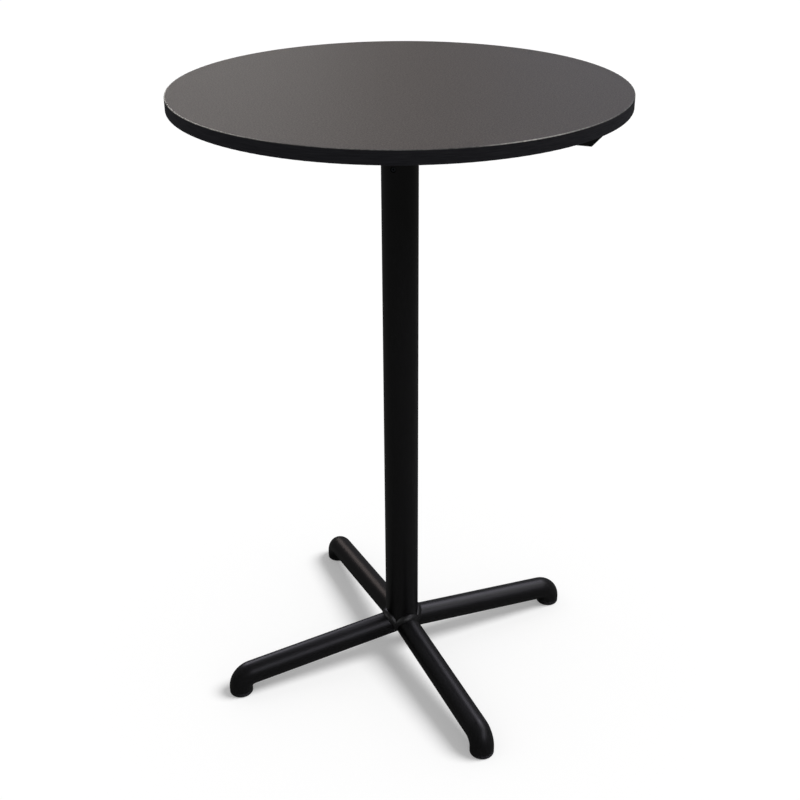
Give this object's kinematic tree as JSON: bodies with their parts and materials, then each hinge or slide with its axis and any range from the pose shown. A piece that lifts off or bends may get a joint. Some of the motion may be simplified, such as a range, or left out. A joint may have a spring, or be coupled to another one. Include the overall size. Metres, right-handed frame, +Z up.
{
  "type": "pub table",
  "caption": "Tall round pub table with a laminate top on a slim steel column, sloping tube legs with turned-down feet, levelling glides and a bag hook.",
  "frame": {"origin": "on the floor under the column's axis, with the glides screwed right in", "axes": "+Z up along the column, -Y to the front, +X towards the bag hook; the legs lie on the diagonals"},
  "size_m": [0.7112, 0.7112, 1.0668],
  "materials": {
    "laminate": "fine matt grain",
    "edge_band": "satin",
    "particle_board": "raw",
    "backing_sheet": "matt",
    "powder_coat": "satin powder coat",
    "black_steel": "black oxide",
    "zinc_steel": "zinc plated",
    "insert_plastic": "moulded",
    "glide_nylon": "moulded"
  },
  "bodies": {
    "frame": {"top_core": "particle_board", "top_laminate": "laminate", "backer_sheet": "backing_sheet", "edge_band": "edge_band", "spider": "powder_coat", "spider_sleeve": "powder_coat", "sleeve_weld": "powder_coat", "spider_screws": "zinc_steel", "column_tube": "powder_coat", "set_screws": "black_steel", "leg_welds": "powder_coat", "bag_hook": "powder_coat", "hook_screws": "zinc_steel", "leg_front_right": "powder_coat", "foot_insert_front_right": "insert_plastic", "glide_nut_front_right": "zinc_steel", "leg_rear_right": "powder_coat", "foot_insert_rear_right": "insert_plastic", "glide_nut_rear_right": "zinc_steel", "leg_rear_left": "powder_coat", "foot_insert_rear_left": "insert_plastic", "glide_nut_rear_left": "zinc_steel", "leg_front_left": "powder_coat", "foot_insert_front_left": "insert_plastic", "glide_nut_front_left": "zinc_steel"},
    "pad_front_right": {"glide_pad_front_right": "glide_nylon"},
    "stem_front_right": {"glide_stem_front_right": "zinc_steel"},
    "pad_rear_right": {"glide_pad_rear_right": "glide_nylon"},
    "stem_rear_right": {"glide_stem_rear_right": "zinc_steel"},
    "pad_rear_left": {"glide_pad_rear_left": "glide_nylon"},
    "stem_rear_left": {"glide_stem_rear_left": "zinc_steel"},
    "pad_front_left": {"glide_pad_front_left": "glide_nylon"},
    "stem_front_left": {"glide_stem_front_left": "zinc_steel"}
  },
  "joints": [
    {"name": "glide_drop_front_right", "type": "slide", "parent": "frame", "child": "pad_front_right", "axis": [0, 0, -1], "range_m": [0, 0.01]},
    {"name": "glide_screw_front_right", "type": "hinge", "parent": "pad_front_right", "child": "stem_front_right", "pos_m": [0.2291, -0.2291, 0], "axis": [0, 0, -1], "range_deg": [0, 2970]},
    {"name": "glide_drop_rear_right", "type": "slide", "parent": "frame", "child": "pad_rear_right", "axis": [0, 0, -1], "range_m": [0, 0.01]},
    {"name": "glide_screw_rear_right", "type": "hinge", "parent": "pad_rear_right", "child": "stem_rear_right", "pos_m": [0.2291, 0.2291, 0], "axis": [0, 0, -1], "range_deg": [0, 2970]},
    {"name": "glide_drop_rear_left", "type": "slide", "parent": "frame", "child": "pad_rear_left", "axis": [0, 0, -1], "range_m": [0, 0.01]},
    {"name": "glide_screw_rear_left", "type": "hinge", "parent": "pad_rear_left", "child": "stem_rear_left", "pos_m": [-0.2291, 0.2291, 0], "axis": [0, 0, -1], "range_deg": [0, 2970]},
    {"name": "glide_drop_front_left", "type": "slide", "parent": "frame", "child": "pad_front_left", "axis": [0, 0, -1], "range_m": [0, 0.01]},
    {"name": "glide_screw_front_left", "type": "hinge", "parent": "pad_front_left", "child": "stem_front_left", "pos_m": [-0.2291, -0.2291, 0], "axis": [0, 0, -1], "range_deg": [0, 2970]}
  ],
  "couplings": [
    {"joint": "glide_screw_front_right", "follows": "glide_drop_front_right", "rad_per_m": 5026.5},
    {"joint": "glide_screw_rear_right", "follows": "glide_drop_rear_right", "rad_per_m": 5026.5},
    {"joint": "glide_screw_rear_left", "follows": "glide_drop_rear_left", "rad_per_m": 5026.5},
    {"joint": "glide_screw_front_left", "follows": "glide_drop_front_left", "rad_per_m": 5026.5}
  ]
}
